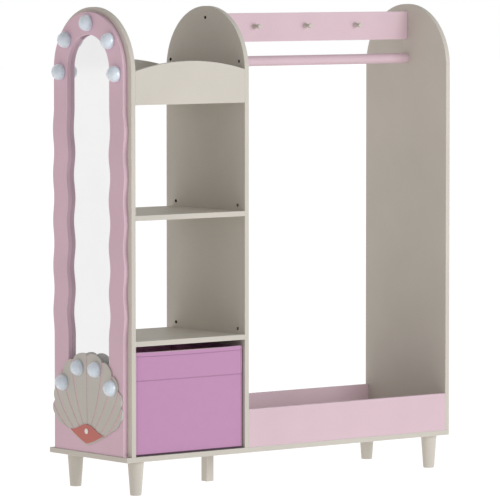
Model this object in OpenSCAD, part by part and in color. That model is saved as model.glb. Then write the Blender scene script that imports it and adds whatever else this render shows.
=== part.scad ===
// Children's dress up storage unit: a mirror with a wavy arched frame on the left end,
// a tall shelf bay with a fabric bin, and a hanging bay with a rod, a hook rail and a toy tray.
// Millimetres. +X is right, +Y is back, +Z is up. The origin is on the floor, under the middle.

/* [Cabinet] */
// Depth of the uprights and the base board, front to back
depth = 300; // [270:1:380]
// Height of the tops of the rounded uprights above the floor
height = 1120; // [930:1:1400]
// Thickness of every board
board_t = 12; // [11:0.5:16]
// Clear width of the shelf bay
cubby_w = 318; // [250:1:420]
// Clear width of the hanging bay
hang_w = 607; // [480:1:800]
// How far the base board runs out past the left upright, to carry the mirror frame
base_over = 14.5; // [13:0.5:30]

/* [Shelves and trays] */
// Clear height of the lower opening, which holds the bin
bin_bay_h = 253.5; // [200:0.5:320]
// Clear height of the middle opening
middle_bay_h = 276; // [220:0.5:340]
// How far the shelves stop short of the back
shelf_back_gap = 22; // [0:1:60]
// From the tops of the uprights down to the underside of the top tray
tray_drop = 222.5; // [200:0.5:260]
// Height of the tray's front and back at their ends
tray_end_h = 77.5; // [60:0.5:100]
// Rise of the arch in the middle of the tray's front and back
tray_rise = 21.5; // [10:0.5:34]
// Height of the toy tray's front and back
toy_h = 89.5; // [60:0.5:140]

/* [Rail, hooks and rod] */
// From the tops of the uprights down to the top of the hook rail
rail_drop = 18; // [12:0.5:30]
// Height of the hook rail
rail_h = 67.5; // [50:0.5:80]
// Distance from the middle upright to the middle hook
hook_mid = 286; // [240:1:330]
// Distance between hooks
hook_pitch = 155; // [100:1:190]
// How far the hooks stand above the middle of the rail
hook_up = 2.5; // [0:0.5:8]
// How far a hook stands out from the rail
hook_len = 22; // [16:0.5:30]
// Diameter of a hook's flange and head
hook_d = 12; // [10:0.5:18]
// Diameter of a hook's neck
hook_neck_d = 7.2; // [6:0.2:9]
// From the tops of the uprights down to the axis of the clothes rod
rod_drop = 131.5; // [115:0.5:170]
// Diameter of the clothes rod
rod_d = 24; // [18:1:30]

/* [Mirror frame] */
// Thickness of the mirror frame
frame_t = 12; // [10:0.5:12.5]
// How far the frame's straight sides stand in from the edges of the upright
frame_margin = 16.5; // [14:0.5:24]
// Width of the frame around the arch
frame_band = 52.7; // [44:0.1:60]
// How far the centre of the frame's arch lies above that of the upright
frame_lift = 6; // [0:0.5:12]
// Distance from one wave crest to the next
wave_pitch = 106; // [80:1:130]
// How far the crests stand out from the frame's outer sides
wave_out = 4.6; // [0:0.1:8]
// How far the opening is wider at a crest than between crests
wave_in = 6; // [0:0.1:9]
// How far the opening is narrower between crests than at the arch
wave_dip = 2.8; // [0:0.1:5]
// Straight length of the frame's sides below the arch, before the waves
wave_top_gap = 87; // [60:1:120]
// Least straight length of the frame's sides above the base board
wave_low_gap = 260; // [230:1:300]
// Height of the opening's lower edge above the base board
opening_low = 178; // [150:1:200]
// Thickness of the mirror sheet
mirror_t = 1; // [0.8:0.1:1.6]
// Width of the lip that holds the mirror sheet
mirror_lip = 5; // [3:0.5:8]

/* [Shell] */
// Thickness of the shell plate
shell_t = 4; // [3:0.5:6]
// Radius of the shell's lobes, measured from the middle of the fan
shell_r = 134.5; // [120:0.5:136]
// Depth of the notches between the lobes
notch_d = 8; // [4:0.5:12]
// Height of the middle of the fan above the base board
fan_z = 98; // [92:1:106]
// Height of the hinge's tips above the base board
hinge_z = 47; // [42:1:54]
// Half the width of the hinge
hinge_half = 64; // [50:1:76]
// Height of the hinge's rounded top above its tips
hinge_up = 19; // [12:1:26]
// Depth of the hinge's point below its tips
hinge_down = 26; // [16:1:34]
// Tilt of the hinge in degrees, with its back tip up
hinge_tilt = 3; // [0:1:6]
// Thickness of the hinge piece
hinge_t = 2; // [1.5:0.5:3]
// Width of the grey rim around the lower part of the hinge
hinge_rim = 2.5; // [1:0.5:5]
// Depth of the routed rays
ray_depth = 0.6; // [0.4:0.1:2]
// Width of a ray at the hinge
ray_w0 = 3.4; // [1.5:0.1:5]
// Width of a ray at the rim
ray_w1 = 7.2; // [3:0.1:9]
// Diameter of the white button in the hinge
button_d = 13; // [8:0.5:18]

/* [Pearls] */
// Diameter of the half round pearls
pearl_d = 38; // [24:1:44]
// Straight neck of the pearls around the arch
arch_neck = 3; // [1:0.5:6]
// Straight neck of the pearls on the shell
shell_neck = 1; // [0.5:0.5:3]

/* [Legs] */
// Height of the legs
leg_h = 80; // [50:1:130]
// Diameter of a round leg at the top
leg_top_d = 38; // [30:1:46]
// Diameter of a round leg at the floor
leg_foot_d = 26.5; // [20:0.5:32]
// Distance from the outer faces of the end uprights to a leg's axis
leg_in_x = 36; // [26:1:60]
// Distance from the front and back edges to a leg's axis
leg_in_y = 33.5; // [24:0.5:60]
// Side of the square support leg
support_w = 21; // [16:1:30]

/* [Fabric bin] */
// Gap between the bin and each side of its opening
bin_side_gap = 4; // [1:0.5:12]
// Gap between the bin's rim and the shelf above it
bin_top_gap = 13.5; // [4:0.5:40]
// How far the bin's front stands back from the front edges
bin_recess = 6; // [0:0.5:20]
// How far the bin's back stands in front of the shelf's back edge
bin_back_gap = 2; // [0:0.5:20]
// Gap between the bin and the base board
bin_lift = 0.3; // [0.2:0.1:1]
// Thickness of the cloth, inside and outside
cloth_t = 1; // [0.6:0.1:1.5]
// Thickness of the stiffening boards inside the cloth
stiff_t = 2; // [1.5:0.5:4]
// Depth of the hem that folds over the rim to the inside
hem_h = 12; // [8:1:30]

/* [Fasteners and fits] */
// Radial clearance of screws, bolts and dowels in their holes
hole_fit = 0.1; // [0.05:0.05:0.2]
// Diameter of the cabinet screws
screw_d = 4; // [3.5:0.5:4.5]
// Length of the cabinet screws
screw_len = 40; // [30:1:45]
// Diameter of the small screws
small_d = 3; // [2.5:0.5:3.5]
// Diameter of the dowels
dowel_d = 6; // [5:1:8]
// Length of the dowels
dowel_len = 24; // [20:1:30]
// Diameter of the cam locks
cam_d = 12; // [10:1:15]
// Thickness of the cam locks
cam_t = 9.5; // [7:0.5:10]
// Diameter of the cam bolts
cam_bolt_d = 5; // [4:0.5:6]
// Diameter of the leg bolts
leg_bolt_d = 8; // [6:1:8]
// Diameter of the drilled spare holes in the middle upright
spare_d = 8; // [4:0.5:9]

/* [Hidden] */
$fn = 72;
over = 0.5; // how far a cut runs past the face that it starts from

// Heights
base_top = leg_h + board_t;
lower_shelf_z = base_top + bin_bay_h; // undersides of the shelves
upper_shelf_z = lower_shelf_z + board_t + middle_bay_h;
tray_z = height - tray_drop;
rail_z = height - rail_drop - rail_h;
rod_z = height - rod_drop;

// Front to back
half_d = depth / 2;
arch_z = height - half_d;
shelf_back = half_d - shelf_back_gap;

// Left to right, with the whole unit centred on x = 0
body_w = 3 * board_t + cubby_w + hang_w;
trim_out = frame_t + shell_t + shell_neck + pearl_d / 2;
x_left = (trim_out - body_w) / 2; // outer face of the left upright
x_bay = x_left + board_t; // left side of the shelf bay
x_mid = x_bay + cubby_w; // left face of the middle upright
x_hang = x_mid + board_t; // left side of the hanging bay
x_right = x_hang + hang_w; // inner face of the right upright
x_end = x_right + board_t; // outer face of the right upright
x_frame = x_left - frame_t; // front face of the mirror frame
x_shell = x_frame - shell_t; // front face of the shell plate

// Mirror frame
frame_half = half_d - frame_margin;
open_r = frame_half - frame_band;
frame_arch_z = arch_z + frame_lift;
mid_band = frame_half - frame_band / 2;
wave_top = frame_arch_z - wave_top_gap;
waves = floor((wave_top - base_top - wave_low_gap) / wave_pitch);
wave_low = wave_top - waves * wave_pitch;
last_crest = wave_top - wave_pitch / 2;
open_low_z = base_top + opening_low;
mirror_space = 0.2; // depth and side clearance of the rebate that holds the mirror sheet
wave_step = wave_pitch / 12;

// Shell: the lobes and notches lie on a fan, and the rays run from the hinge to the notches
fan_mid_z = base_top + fan_z;
hinge_mid_z = base_top + hinge_z;
notch_at = [0, 26, 47, 66, 83, 98]; // degrees from the top of the fan
ray_from = [0, 13, 27, 45, 60]; // where each ray starts, across from the middle of the hinge
ray_bow = 18; // how far the rays bow outwards
ray_tuck = 4; // how far the rays start under the hinge's upper edge
lobe_steps = 8;
ray_steps = 8;
hinge_steps = 24;

// Pearls, in degrees from the top of the arch and of the fan
arch_pearl_at = [-94, -51, 0, 51, 94];
shell_pearl_at = [-58, -19, 19, 58];
shell_pearl_in = [25, 32, 32, 25]; // distance in from the shell's lobes

// Fasteners
screw_head_d = 2 * screw_d;
small_head_d = 2 * small_d;
frame_screw_len = 20;
hook_screw_len = board_t + hook_len - 8;
arch_pearl_screw_len = frame_t + pearl_d / 4;
shell_pearl_screw_len = shell_t + 6;
dowel_in = 8; // depth of a dowel in the face of a board
cam_in = 22; // distance from the end of a board to its cam lock
cam_reach = 5; // how far a cam bolt reaches into its lock
leg_bolt_up = 9; // length of a leg bolt in the base board
leg_bolt_down = 30; // length of a leg bolt in the leg
insert_wall = 2; // wall of the threaded inserts for the leg bolts
spare_depth = 8;

band_y = [-mid_band, mid_band]; // across the panel, behind the bands of the mirror frame
shelf_mid_z = [lower_shelf_z + board_t / 2, upper_shelf_z + board_t / 2, tray_z + board_t / 2];
apron_y = [-half_d + board_t / 2, half_d - board_t / 2]; // middles of front and back panels
toy_fix_z = [base_top + toy_h * 0.25, base_top + toy_h * 0.75];
rail_fix_z = rail_z + rail_h - 9;
rail_dowel_z = rail_z + 9;
apron_cam_z = tray_z + 55;
apron_dowel_z = tray_z + 24;
frame_screw_z = [base_top + 58, (lower_shelf_z + upper_shelf_z + board_t) / 2,
                 (upper_shelf_z + board_t + tray_z) / 2];
frame_screw_angle = 70; // the upper pair, in degrees from the top of the arch
base_screw_y = [-half_d + 50, half_d - 50];
base_dowel_y = [-half_d / 2 + 15, half_d / 2 - 15];
legs_xy = [for (y = [-half_d + leg_in_y, half_d - leg_in_y])
           for (x = [x_left + leg_in_x, x_end - leg_in_x]) [x, y]];
support_xy = [x_mid + board_t / 2, 0];
hook_x = [for (i = [-1:1]) x_hang + hook_mid + i * hook_pitch];
hook_z = rail_z + rail_h / 2 + hook_up;

cream = "#D3CFC5";
pink = "#DDB9C6";
frame_pink = "#C9A5B1";
shell_grey = "#ABA79E";
coral = "#B96A60";
pearl_blue = "#C8D4DF";
orchid = "#C394B9";
zinc = "#B5B7BA";
beech = "#D8B98C";

// ---- Helpers ----

// A plain board between its lowest and highest corners
module board(low, high) translate(low) cube(high - low);

// An outline drawn with depth across and height up, made a slab from x towards +X
module slab(x, t) translate([x, 0, 0]) rotate([90, 0, 90]) linear_extrude(t) children();

// Moves a piece to a place and turns its +Z to one of the six directions
module facing(place, way) {
    turn = way == "right" ? [0, 90, 0] : way == "left" ? [0, -90, 0]
        : way == "front" ? [90, 0, 0] : way == "back" ? [-90, 0, 0] : [0, 0, 0];
    translate(place) rotate(turn) children();
}

// A countersunk screw along +Z, with the top of its head at z = 0 and a hexagonal socket
module screw(d, len, head_d) difference() {
    union() {
        cylinder(h = (head_d - d) / 2, d1 = head_d, d2 = d);
        cylinder(h = len, d = d);
    }
    translate([0, 0, -over]) cylinder(h = over + (head_d - d) / 2, d = 0.45 * head_d, $fn = 6);
}

// The space that such a screw needs
module screw_hole(d, len, head_d) {
    translate([0, 0, -over]) cylinder(h = over, d = head_d + 2 * hole_fit);
    cylinder(h = (head_d - d) / 2, d1 = head_d + 2 * hole_fit, d2 = d + 2 * hole_fit);
    cylinder(h = len + hole_fit, d = d + 2 * hole_fit);
}

// A dowel along +Z, with chamfered ends
module dowel() {
    edge = 0.6;
    rotate_extrude() polygon([[0, 0], [dowel_d / 2 - edge, 0], [dowel_d / 2, edge],
        [dowel_d / 2, dowel_len - edge], [dowel_d / 2 - edge, dowel_len], [0, dowel_len]]);
}

// The hole for a dowel, longer than it at both ends
module dowel_hole() {
    translate([0, 0, -hole_fit]) cylinder(h = dowel_len + 2 * hole_fit, d = dowel_d + 2 * hole_fit);
}

// ---- Places of the fasteners ----

// Screws through the sides: [place, direction]
function side_screw_places() = concat(
    [for (z = shelf_mid_z) for (y = band_y) [[x_left, y, z], "right"]],
    [for (z = shelf_mid_z) for (y = band_y) [[x_hang, y, z], "left"]],
    [for (z = toy_fix_z) for (y = apron_y) [[x_end, y, z], "left"]],
    [[[x_mid, 0, rail_fix_z], "right"]],
    [for (z = [rail_fix_z, rod_z]) [[x_end, 0, z], "left"]]);

module at_side_screws() for (s = side_screw_places()) facing(s[0], s[1]) children();
module at_base_screws() for (x = [x_left, x_mid, x_right]) for (y = base_screw_y)
    facing([x + board_t / 2, y, leg_h], "up") children();

// Dowels: [place, direction]
function dowel_places() = concat(
    [for (x = [x_left, x_mid, x_right]) for (y = base_dowel_y)
        [[x + board_t / 2, y, base_top - dowel_in], "up"]],
    [for (z = shelf_mid_z) [[x_bay - dowel_in, 0, z], "right"]],
    [for (z = shelf_mid_z) [[x_mid + dowel_in, 0, z], "left"]],
    [for (y = apron_y) [[x_bay - dowel_in, y, apron_dowel_z], "right"]],
    [for (y = apron_y) [[x_mid + dowel_in, y, apron_dowel_z], "left"]],
    [for (z = toy_fix_z) for (y = apron_y) [[x_hang - dowel_in, y, z], "right"]],
    [for (z = [rail_dowel_z, rod_z]) [[x_hang - dowel_in, 0, z], "right"]],
    [[[x_right + dowel_in, 0, rail_dowel_z], "left"]]);

module at_dowels() for (d = dowel_places()) facing(d[0], d[1]) children();

// Cam bolts stand in the uprights and reach into the locks in the tray's front and back
module at_cam_bolts() for (y = apron_y) {
    facing([x_bay - dowel_in, y, apron_cam_z], "right") children();
    facing([x_mid + dowel_in, y, apron_cam_z], "left") children();
}

// Cam locks, each with its open face on the tray's side
module at_cams() for (x = [x_bay + cam_in, x_mid - cam_in]) {
    facing([x, -half_d + board_t, apron_cam_z], "front") children();
    facing([x, half_d - board_t, apron_cam_z], "back") children();
}

module at_leg_bolts() for (p = concat(legs_xy, [support_xy])) translate([p[0], p[1], leg_h]) children();

module at_frame_screws() {
    for (z = frame_screw_z) for (y = band_y) facing([x_bay, y, z], "left") children();
    for (side = [-1, 1]) facing([x_bay, side * mid_band * sin(frame_screw_angle),
        frame_arch_z + mid_band * cos(frame_screw_angle)], "left") children();
}

module at_arch_pearl(i) facing([x_frame, mid_band * sin(arch_pearl_at[i]),
    frame_arch_z + mid_band * cos(arch_pearl_at[i])], "left") children();

module at_shell_pearl(i) {
    r = shell_r - shell_pearl_in[i];
    facing([x_shell, r * sin(shell_pearl_at[i]), fan_mid_z + r * cos(shell_pearl_at[i])], "left")
        children();
}

// ---- Holes that several boards share ----

module fastener_holes() {
    at_side_screws() screw_hole(screw_d, screw_len, screw_head_d);
    at_base_screws() screw_hole(screw_d, screw_len, screw_head_d);
    at_dowels() dowel_hole();
    at_cam_bolts() translate([0, 0, -hole_fit])
        cylinder(h = dowel_in + cam_in, d = cam_bolt_d + 2 * hole_fit);
}

// ---- Cabinet ----

module base_board() color(cream) difference() {
    board([x_left - base_over, -half_d, leg_h], [x_end, half_d, base_top]);
    fastener_holes();
    at_leg_bolts() translate([0, 0, -over])
        cylinder(h = over + leg_bolt_up + 1, d = leg_bolt_d + 2 * insert_wall + 2 * hole_fit);
}

module upright_outline() {
    translate([-half_d, base_top]) square([depth, arch_z - base_top]);
    translate([0, arch_z]) circle(r = half_d, $fn = 180);
}

module upright(x) difference() {
    slab(x, board_t) upright_outline();
    fastener_holes();
    at_frame_screws() screw_hole(small_d, frame_screw_len, small_head_d);
}

module left_upright() color(cream) upright(x_left);
module right_upright() color(cream) upright(x_right);

// The middle upright has a spare hole above each end of each shelf and of the tray
module middle_upright() color(cream) difference() {
    upright(x_mid);
    for (z = [lower_shelf_z, upper_shelf_z]) for (y = [-half_d + 27.5, shelf_back - 15])
        spare_hole(y, z + board_t + 12);
    for (y = [-half_d + 22.5, half_d - 17]) spare_hole(y, tray_z + 95);
}

module spare_hole(y, z) facing([x_mid - over, y, z], "right") cylinder(h = over + spare_depth, d = spare_d);

module shelf(z) difference() {
    board([x_bay, -half_d, z], [x_mid, shelf_back, z + board_t]);
    fastener_holes();
}

module lower_shelf() color(cream) shelf(lower_shelf_z);
module upper_shelf() color(cream) shelf(upper_shelf_z);

module tray_bottom() color(cream) difference() {
    board([x_bay, -half_d + board_t, tray_z], [x_mid, half_d - board_t, tray_z + board_t]);
    fastener_holes();
}

// Front or back of the tray: its top edge is an arc through the ends and the raised middle
module apron(y) {
    arc_r = (pow(cubby_w / 2, 2) + pow(tray_rise, 2)) / (2 * tray_rise);
    difference() {
        translate([x_bay + cubby_w / 2, y + board_t, tray_z]) rotate([90, 0, 0]) linear_extrude(board_t)
            intersection() {
                translate([-cubby_w / 2, 0]) square([cubby_w, tray_end_h + tray_rise]);
                translate([0, tray_end_h + tray_rise - arc_r]) circle(r = arc_r, $fn = 360);
            }
        fastener_holes();
        at_cams() translate([0, 0, -over]) cylinder(h = over + cam_t + hole_fit, d = cam_d + 2 * hole_fit);
    }
}

module tray_front() color(cream) apron(-half_d);
module tray_back() color(cream) apron(half_d - board_t);

module toy_panel(y) difference() {
    board([x_hang, y, base_top], [x_right, y + board_t, base_top + toy_h]);
    fastener_holes();
}

module toy_tray_front() color(pink) toy_panel(-half_d);
module toy_tray_back() color(pink) toy_panel(half_d - board_t);

// ---- Rail, hooks and rod ----

module hook_rail() color(pink) difference() {
    board([x_hang, -board_t / 2, rail_z], [x_right, board_t / 2, rail_z + rail_h]);
    fastener_holes();
    at_hook_screws() screw_hole(small_d, hook_screw_len, small_head_d);
}

module at_hook_screws() for (x = hook_x) facing([x, board_t / 2, hook_z], "front") children();

// A turned peg with a hollow waist between its flange and its head
module hook(i) {
    waist = [for (k = [0:10]) let (f = k / 10)
        [(hook_neck_d + (hook_d - hook_neck_d) * pow(cos(180 * f), 2)) / 2, 1 + f * (hook_len - 3)]];
    difference() {
        facing([hook_x[i], -board_t / 2, hook_z], "front") rotate_extrude() polygon(concat(
            [[0, 0], [hook_d / 2, 0]], waist, [[hook_d / 2 - 1.2, hook_len], [0, hook_len]]));
        at_hook_screws() screw_hole(small_d, hook_screw_len, small_head_d);
    }
}

module left_hook() color(cream) hook(0);
module middle_hook() color(cream) hook(1);
module right_hook() color(cream) hook(2);

module clothes_rod() color(pink) difference() {
    facing([x_hang, 0, rod_z], "right") cylinder(h = hang_w, d = rod_d);
    fastener_holes();
}

// ---- Mirror ----

// Half widths of the frame and of its opening at a height: level above and below the waves
function wave(z) = z > wave_low && z < wave_top ? (1 - cos(360 * (z - wave_low) / wave_pitch)) / 2 : 0;
function frame_half_at(z) = frame_half + wave_out * wave(z);
function open_half_at(z) = let (calm = z > last_crest ? open_r : open_r - wave_dip)
    calm + (open_r - wave_dip + wave_in - calm) * wave(z);
wave_heights = [for (k = [0:waves * 12]) wave_low + k * wave_step];

// An outline with straight feet from a height up, wavy sides and a half round top
module wavy_outline(low, halves) {
    last = len(halves) - 1;
    right = concat([[halves[0], low]], [for (k = [0:last]) [halves[k], wave_heights[k]]],
        [[halves[last], frame_arch_z]]);
    polygon(concat(right, [for (k = [len(right) - 1:-1:0]) [-right[k][0], right[k][1]]]));
    translate([0, frame_arch_z]) intersection() {
        circle(r = halves[last], $fn = 180);
        translate([-halves[last], 0]) square(2 * halves[last]);
    }
}

module frame_outline() wavy_outline(base_top, [for (z = wave_heights) frame_half_at(z)]);
module opening_outline(grow) wavy_outline(open_low_z - grow, [for (z = wave_heights) open_half_at(z) + grow]);

module mirror_frame() color(frame_pink) difference() {
    slab(x_frame, frame_t) difference() {
        frame_outline();
        opening_outline(0);
    }
    slab(x_left - mirror_t - mirror_space, mirror_t + mirror_space + over)
        opening_outline(mirror_lip + mirror_space);
    at_frame_screws() screw_hole(small_d, frame_screw_len, small_head_d);
    for (i = [0:4]) at_arch_pearl(i) pearl_screw_hole(frame_t, arch_pearl_screw_len);
    button_stem_hole();
}

module mirror_sheet() color("#EFEFEF") slab(x_left - mirror_t, mirror_t) opening_outline(mirror_lip);

// ---- Shell ----

// A point of the fan at an angle from its top: the lobes swell between the notches
function lobe_r(a, a0, a1) = shell_r - notch_d + notch_d * pow(sin(180 * (a - a0) / (a1 - a0)), 0.6);
function fan_point(a, r) = [r * sin(a), fan_mid_z + r * cos(a)];
half_fan = concat(
    [for (k = [0:len(notch_at) - 2]) for (j = [0:lobe_steps - 1])
        let (a = notch_at[k] + (notch_at[k + 1] - notch_at[k]) * j / lobe_steps)
        fan_point(a, lobe_r(a, notch_at[k], notch_at[k + 1]))],
    [fan_point(notch_at[len(notch_at) - 1], shell_r - notch_d), fan_point(106, shell_r - 2 * notch_d)]);

// Heights of the hinge's upper and lower edges above its middle, before it is tilted
function hinge_top(y) = hinge_up * (1 + cos(180 * y / hinge_half)) / 2;
function hinge_low(y) = -hinge_down * (1 - pow(abs(y) / hinge_half, 1.25));
function tilted(y, z) = [y * cos(hinge_tilt) - z * sin(hinge_tilt),
                         hinge_mid_z + y * sin(hinge_tilt) + z * cos(hinge_tilt)];
hinge_ys = [for (k = [0:hinge_steps]) hinge_half * (1 - 2 * k / hinge_steps)];

module hinge_outline() polygon(concat([for (y = hinge_ys) tilted(-y, hinge_top(y))],
    [for (k = [1:hinge_steps - 1]) tilted(hinge_ys[k], hinge_low(hinge_ys[k]))]));

// The plate's outline: the fan, and a rim round the lower side of the hinge
module shell_outline() polygon(concat(half_fan,
    [tilted(hinge_half + hinge_rim, -hinge_rim)],
    [for (k = [1:hinge_steps - 1]) tilted(hinge_ys[k], hinge_low(hinge_ys[k]) - 1.4 * hinge_rim)],
    [tilted(-hinge_half - hinge_rim, -hinge_rim)],
    [for (k = [len(half_fan) - 1:-1:1]) [-half_fan[k][0], half_fan[k][1]]]));

// A ray: a bowed strip that widens from the hinge to its notch and runs out over the rim
function blend(a, b, c, t) = (1 - t) * (1 - t) * a + 2 * t * (1 - t) * b + t * t * c;
module ray(k, side) {
    from = tilted(side * ray_from[k], hinge_top(ray_from[k]) - ray_tuck);
    to = [side * fan_point(notch_at[k], shell_r)[0], fan_point(notch_at[k], shell_r)[1]];
    run = (to - from) / norm(to - from);
    out = k == 0 ? [0, 0] : side * [run[1], -run[0]];
    bend = (from + to) / 2 + ray_bow * out;
    line = [for (j = [0:ray_steps]) blend(from, bend, to, j / ray_steps)];
    edge = [run[1], -run[0]] / 2;
    strip = [for (j = [0:ray_steps]) edge * (ray_w0 + (ray_w1 - ray_w0) * j / ray_steps)];
    polygon(concat([for (j = [0:ray_steps]) line[j] + strip[j]],
        [for (j = [ray_steps:-1:0]) line[j] - strip[j]]));
}

module shell_plate() color(shell_grey) difference() {
    slab(x_shell, shell_t) shell_outline();
    slab(x_shell - over, over + ray_depth) {
        ray(0, 1);
        for (k = [1:len(ray_from) - 1]) for (side = [-1, 1]) ray(k, side);
    }
    for (i = [0:3]) at_shell_pearl(i) pearl_screw_hole(shell_t, shell_pearl_screw_len);
    button_stem_hole();
}

module shell_hinge() color(coral) difference() {
    slab(x_shell - hinge_t, hinge_t) hinge_outline();
    button_stem_hole();
}

// The button's domed head lies on the hinge, and its stem pins hinge, plate and frame together
button_z = hinge_mid_z + hinge_up * 0.16;
button_head = 2.5;
button_stem_d = 4;
button_stem = hinge_t + shell_t + frame_t - 2;
module at_button() facing([x_shell - hinge_t, 0, button_z], "left") children();

module hinge_button() color("#E6EAE9") at_button() {
    rotate_extrude() polygon([[0, 0], [button_d / 2, 0], [button_d / 2, button_head * 0.4],
        [button_d / 2 - 1, button_head * 0.75], [button_d / 4, button_head], [0, button_head]]);
    translate([0, 0, -button_stem]) cylinder(h = button_stem, d = button_stem_d);
}

module button_stem_hole() at_button() translate([0, 0, -button_stem - hole_fit])
    cylinder(h = button_stem + 2 * hole_fit, d = button_stem_d + 2 * hole_fit);

// ---- Pearls ----

// A half ball on a short neck, drilled from below for its screw
module pearl(neck, grip) difference() {
    union() {
        cylinder(h = neck, d = pearl_d);
        translate([0, 0, neck]) rotate_extrude() intersection() {
            circle(d = pearl_d, $fn = 96);
            square(pearl_d);
        }
    }
    translate([0, 0, -over]) cylinder(h = over + grip + hole_fit, d = small_d + 2 * hole_fit);
}

// The screw comes from behind: its head lies flush in the back of the board that carries the pearl
module pearl_screw(board, len) translate([0, 0, -board]) screw(small_d, len, small_head_d);
module pearl_screw_hole(board, len) translate([0, 0, -board]) screw_hole(small_d, len, small_head_d);

module arch_pearl(i) color(pearl_blue) at_arch_pearl(i) pearl(arch_neck, arch_pearl_screw_len - frame_t);
module shell_pearl(i) color(pearl_blue) at_shell_pearl(i)
    pearl(shell_neck, shell_pearl_screw_len - shell_t);

// ---- Legs ----

module leg_bolt_hole() translate([0, 0, -leg_bolt_down - 1])
    cylinder(h = leg_bolt_down + 1 + over, d = leg_bolt_d + 2 * hole_fit);

module leg(i) color(cream) translate([legs_xy[i][0], legs_xy[i][1], 0]) difference() {
    edge = 1.5;
    rotate_extrude() polygon([[0, 0], [leg_foot_d / 2 - edge, 0], [leg_foot_d / 2, edge],
        [leg_top_d / 2, leg_h], [0, leg_h]]);
    translate([0, 0, leg_h]) leg_bolt_hole();
}

module support_leg() color(cream) translate([support_xy[0], support_xy[1], 0]) difference() {
    translate([-support_w / 2, -support_w / 2, 0]) cube([support_w, support_w, leg_h]);
    translate([0, 0, leg_h]) leg_bolt_hole();
}

// ---- Fasteners ----

module leg_bolts() color(zinc) at_leg_bolts() translate([0, 0, -leg_bolt_down])
    cylinder(h = leg_bolt_down + leg_bolt_up, d = leg_bolt_d);

module leg_inserts() color("#C9A94F") at_leg_bolts() difference() {
    cylinder(h = leg_bolt_up + 1, d = leg_bolt_d + 2 * insert_wall);
    translate([0, 0, -over]) cylinder(h = leg_bolt_up + 1 + 2 * over, d = leg_bolt_d + 2 * hole_fit);
}

module base_screws() color(zinc) at_base_screws() screw(screw_d, screw_len, screw_head_d);
module side_screws() color(zinc) at_side_screws() screw(screw_d, screw_len, screw_head_d);
module dowels() color(beech) at_dowels() dowel();
module frame_screws() color(zinc) at_frame_screws() screw(small_d, frame_screw_len, small_head_d);
module hook_screws() color(zinc) at_hook_screws() screw(small_d, hook_screw_len, small_head_d);

module arch_pearl_screws() color(zinc) for (i = [0:4])
    at_arch_pearl(i) pearl_screw(frame_t, arch_pearl_screw_len);
module shell_pearl_screws() color(zinc) for (i = [0:3])
    at_shell_pearl(i) pearl_screw(shell_t, shell_pearl_screw_len);

// Each lock is a disc with a slot for the tip of its bolt and a cross slot in its open face
module cam_locks() color(zinc) difference() {
    at_cams() difference() {
        cylinder(h = cam_t, d = cam_d);
        translate([-cam_d / 3, -0.6, -over]) cube([cam_d / 1.5, 1.2, over + 1.5]);
        translate([-0.6, -cam_d / 3, -over]) cube([1.2, cam_d / 1.5, over + 1.5]);
    }
    at_cam_bolts() cylinder(h = cam_bolt_len() + 1, d = cam_bolt_d + 4 * hole_fit);
}

function cam_bolt_len() = dowel_in + cam_in - cam_d / 2 + cam_reach;
module cam_bolts() color(zinc) at_cam_bolts() cylinder(h = cam_bolt_len(), d = cam_bolt_d);

// ---- Fabric bin ----

bin_low = [x_bay + bin_side_gap, -half_d + bin_recess, base_top + bin_lift];
bin_high = [x_mid - bin_side_gap, shelf_back - bin_back_gap, lower_shelf_z - bin_top_gap];
bin_wall = 2 * cloth_t + stiff_t;

// The bin's box, drawn in by the same amount on all four sides, between two heights
module bin_block(in, low, high) board([bin_low[0] + in, bin_low[1] + in, low],
    [bin_high[0] - in, bin_high[1] - in, high]);

// Outer cloth, turned over the rim and down the inside as a hem
module bin_outer() color(orchid) difference() {
    bin_block(0, bin_low[2], bin_high[2]);
    difference() {
        bin_block(cloth_t, bin_low[2] + cloth_t, bin_high[2] - cloth_t);
        difference() {
            bin_block(bin_wall - cloth_t, bin_high[2] - cloth_t - hem_h, bin_high[2]);
            bin_block(bin_wall, bin_high[2] - 2 * hem_h, bin_high[2] + over);
        }
    }
    bin_block(bin_wall, bin_high[2] - hem_h, bin_high[2] + over);
}

module bin_lining() color("#8E6386") difference() {
    bin_block(bin_wall - cloth_t, bin_low[2] + cloth_t + stiff_t, bin_high[2] - cloth_t - hem_h);
    bin_block(bin_wall, bin_low[2] + bin_wall, bin_high[2]);
}

// Stiffening boards between the two layers of cloth
stiff_low = bin_low + [cloth_t, cloth_t, cloth_t];
stiff_high = bin_high - [cloth_t, cloth_t, cloth_t];
stiff_front = stiff_low[1] + stiff_t; // the side boards lie between the front and back ones
stiff_back = stiff_high[1] - stiff_t;
stiff_floor = stiff_low[2] + stiff_t;

module stiff_board(left, front, low, right, back, high) color("#B9AE9C")
    board([left, front, low], [right, back, high]);

module bin_bottom_board() stiff_board(stiff_low[0], stiff_low[1], stiff_low[2],
    stiff_high[0], stiff_high[1], stiff_floor);
module bin_front_board() stiff_board(stiff_low[0], stiff_low[1], stiff_floor,
    stiff_high[0], stiff_front, stiff_high[2]);
module bin_back_board() stiff_board(stiff_low[0], stiff_back, stiff_floor,
    stiff_high[0], stiff_high[1], stiff_high[2]);
module bin_left_board() stiff_board(stiff_low[0], stiff_front, stiff_floor,
    stiff_low[0] + stiff_t, stiff_back, stiff_high[2]);
module bin_right_board() stiff_board(stiff_high[0] - stiff_t, stiff_front, stiff_floor,
    stiff_high[0], stiff_back, stiff_high[2]);

// ---- The unit ----

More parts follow.
